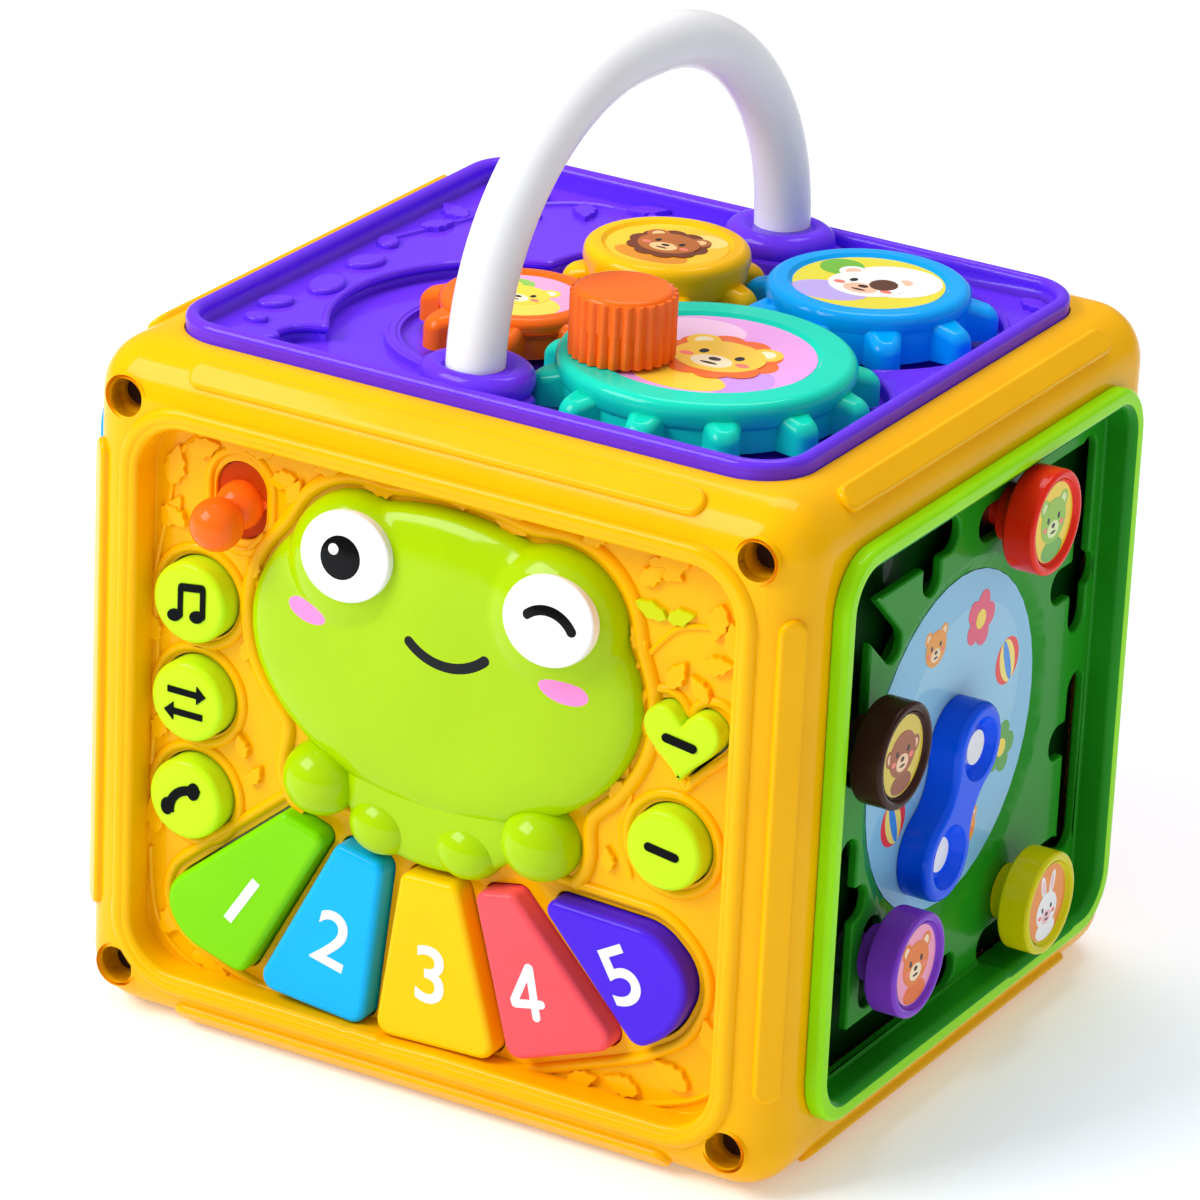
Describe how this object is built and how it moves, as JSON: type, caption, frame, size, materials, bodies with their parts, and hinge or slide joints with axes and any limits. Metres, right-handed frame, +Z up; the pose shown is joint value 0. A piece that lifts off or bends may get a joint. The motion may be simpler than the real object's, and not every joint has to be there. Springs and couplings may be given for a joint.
{
  "type": "activity cube",
  "caption": "Toddler's activity cube: a rounded yellow box with a frog keyboard, a gear tray with crank, a sliding-knob maze and a bow handle.",
  "frame": {"origin": "middle of the underside, on the ground", "axes": "+Z up, -Y towards the frog face (front), +X towards the maze (right)"},
  "size_m": [0.1927, 0.1786, 0.2285],
  "materials": {
    "case_yellow": "gloss",
    "frog_green": "gloss",
    "eye_white": "gloss",
    "lever_orange": "gloss",
    "button_lime": "gloss",
    "key_green": "gloss",
    "key_cyan": "gloss",
    "key_yellow": "gloss",
    "key_coral": "gloss",
    "key_violet": "gloss",
    "tray_purple": "gloss",
    "handle_white": "gloss",
    "gear_teal": "gloss",
    "gear_orange": "gloss",
    "gear_yellow": "gloss",
    "gear_blue": "gloss",
    "crank_orange": "gloss",
    "maze_green": "gloss",
    "picture_blue": "satin",
    "pointer_blue": "gloss",
    "slider_red": "gloss",
    "slider_brown": "gloss",
    "slider_purple": "gloss",
    "slider_yellow": "gloss",
    "left_blue": "gloss",
    "back_orange": "gloss",
    "dark_plastic": "matt",
    "board_green": "satin",
    "membrane_grey": "matt",
    "switch_red": "satin",
    "steel": "bright"
  },
  "bodies": {
    "case": {"case_shell": "case_yellow", "front_panel": "case_yellow", "front_screws": "steel", "frog_cover": "frog_green", "frog_eyes": "eye_white", "lever_pin": "steel", "key_membrane": "membrane_grey", "circuit_board": "board_green", "board_screws": "steel", "led": "eye_white", "top_tray": "tray_purple", "tray_screws": "steel", "handle": "handle_white", "handle_screws": "steel", "gear_axles": "steel", "maze_panel": "maze_green", "picture_disc": "picture_blue", "pointer_pin": "steel", "left_panel": "left_blue", "back_panel": "back_orange", "base_panel": "case_yellow", "base_screws": "steel", "battery_box": "dark_plastic", "battery_cells": "dark_plastic", "battery_door": "case_yellow", "battery_door_screw": "steel", "speaker": "dark_plastic", "switch_housing": "dark_plastic"},
    "button_upper": {"button_upper": "button_lime"},
    "button_middle": {"button_middle": "button_lime"},
    "button_lower": {"button_lower": "button_lime"},
    "heart_button": {"heart_button": "button_lime"},
    "round_button": {"round_button": "button_lime"},
    "key_1": {"key_1": "key_green"},
    "key_2": {"key_2": "key_cyan"},
    "key_3": {"key_3": "key_yellow"},
    "key_4": {"key_4": "key_coral"},
    "key_5": {"key_5": "key_violet"},
    "toggle_lever": {"toggle_lever": "lever_orange"},
    "gear_teal": {"gear_teal": "gear_teal", "crank_pin": "steel"},
    "gear_orange": {"gear_orange": "gear_orange"},
    "gear_yellow": {"gear_yellow": "gear_yellow"},
    "gear_blue": {"gear_blue": "gear_blue"},
    "crank_knob": {"crank_knob": "crank_orange"},
    "pointer": {"pointer": "pointer_blue"},
    "slider_red": {"slider_red": "slider_red", "retainer_red": "button_lime"},
    "slider_brown": {"slider_brown": "slider_brown", "retainer_brown": "button_lime"},
    "slider_purple": {"slider_purple": "slider_purple", "retainer_purple": "button_lime"},
    "slider_yellow": {"slider_yellow": "slider_yellow", "retainer_yellow": "button_lime"},
    "power_switch": {"power_switch": "switch_red"}
  },
  "joints": [
    {"name": "button_upper_press", "type": "slide", "parent": "case", "child": "button_upper", "axis": [0, 1, 0], "range_m": [0, 0.002], "stiffness_N_per_m": 600},
    {"name": "button_middle_press", "type": "slide", "parent": "case", "child": "button_middle", "axis": [0, 1, 0], "range_m": [0, 0.002], "stiffness_N_per_m": 600},
    {"name": "button_lower_press", "type": "slide", "parent": "case", "child": "button_lower", "axis": [0, 1, 0], "range_m": [0, 0.002], "stiffness_N_per_m": 600},
    {"name": "heart_button_press", "type": "slide", "parent": "case", "child": "heart_button", "axis": [0, 1, 0], "range_m": [0, 0.002], "stiffness_N_per_m": 600},
    {"name": "round_button_press", "type": "slide", "parent": "case", "child": "round_button", "axis": [0, 1, 0], "range_m": [0, 0.002], "stiffness_N_per_m": 600},
    {"name": "key_1_press", "type": "slide", "parent": "case", "child": "key_1", "axis": [0, 1, 0], "range_m": [0, 0.002], "stiffness_N_per_m": 600},
    {"name": "key_2_press", "type": "slide", "parent": "case", "child": "key_2", "axis": [0, 1, 0], "range_m": [0, 0.002], "stiffness_N_per_m": 600},
    {"name": "key_3_press", "type": "slide", "parent": "case", "child": "key_3", "axis": [0, 1, 0], "range_m": [0, 0.002], "stiffness_N_per_m": 600},
    {"name": "key_4_press", "type": "slide", "parent": "case", "child": "key_4", "axis": [0, 1, 0], "range_m": [0, 0.002], "stiffness_N_per_m": 600},
    {"name": "key_5_press", "type": "slide", "parent": "case", "child": "key_5", "axis": [0, 1, 0], "range_m": [0, 0.002], "stiffness_N_per_m": 600},
    {"name": "lever_flip", "type": "hinge", "parent": "case", "child": "toggle_lever", "pos_m": [-0.0523, -0.0715, 0.1282], "axis": [-1, 0, 0], "range_deg": [0, 22]},
    {"name": "gear_teal_spin", "type": "hinge", "parent": "case", "child": "gear_teal", "pos_m": [0.035, -0.0288, 0.16], "axis": [0, 0, 1], "continuous": true},
    {"name": "gear_orange_spin", "type": "hinge", "parent": "case", "child": "gear_orange", "pos_m": [-0.01888, -0.01728, 0.16], "axis": [0, 0, 1], "continuous": true},
    {"name": "gear_yellow_spin", "type": "hinge", "parent": "case", "child": "gear_yellow", "pos_m": [-0.00326, 0.0202, 0.16], "axis": [0, 0, 1], "continuous": true},
    {"name": "gear_blue_spin", "type": "hinge", "parent": "case", "child": "gear_blue", "pos_m": [0.04168, 0.03173, 0.16], "axis": [0, 0, 1], "continuous": true},
    {"name": "crank_knob_spin", "type": "hinge", "parent": "gear_teal", "child": "crank_knob", "pos_m": [0.0207, -0.0409, 0.175], "axis": [0, 0, 1], "continuous": true},
    {"name": "pointer_spin", "type": "hinge", "parent": "case", "child": "pointer", "pos_m": [0.089, 0, 0.08], "axis": [1, 0, 0], "continuous": true},
    {"name": "slider_red_slide", "type": "slide", "parent": "case", "child": "slider_red", "axis": [0, 1, 0], "range_m": [-0.0088, 0.0335]},
    {"name": "slider_brown_slide", "type": "slide", "parent": "case", "child": "slider_brown", "axis": [0, 0, 1], "range_m": [-0.0048, 0.0305]},
    {"name": "slider_purple_slide", "type": "slide", "parent": "case", "child": "slider_purple", "axis": [0, 0, 1], "range_m": [-0.0089, 0.0019]},
    {"name": "slider_yellow_slide", "type": "slide", "parent": "case", "child": "slider_yellow", "axis": [0, 1, 0], "range_m": [0, 0.0226]},
    {"name": "power_switch_slide", "type": "slide", "parent": "case", "child": "power_switch", "axis": [1, 0, 0], "range_m": [0, 0.005]}
  ],
  "couplings": [
    {"joint": "gear_orange_spin", "follows": "gear_teal_spin", "ratio": -1.7143},
    {"joint": "gear_yellow_spin", "follows": "gear_teal_spin", "ratio": 1.7143},
    {"joint": "gear_blue_spin", "follows": "gear_teal_spin", "ratio": -1.3333}
  ]
}
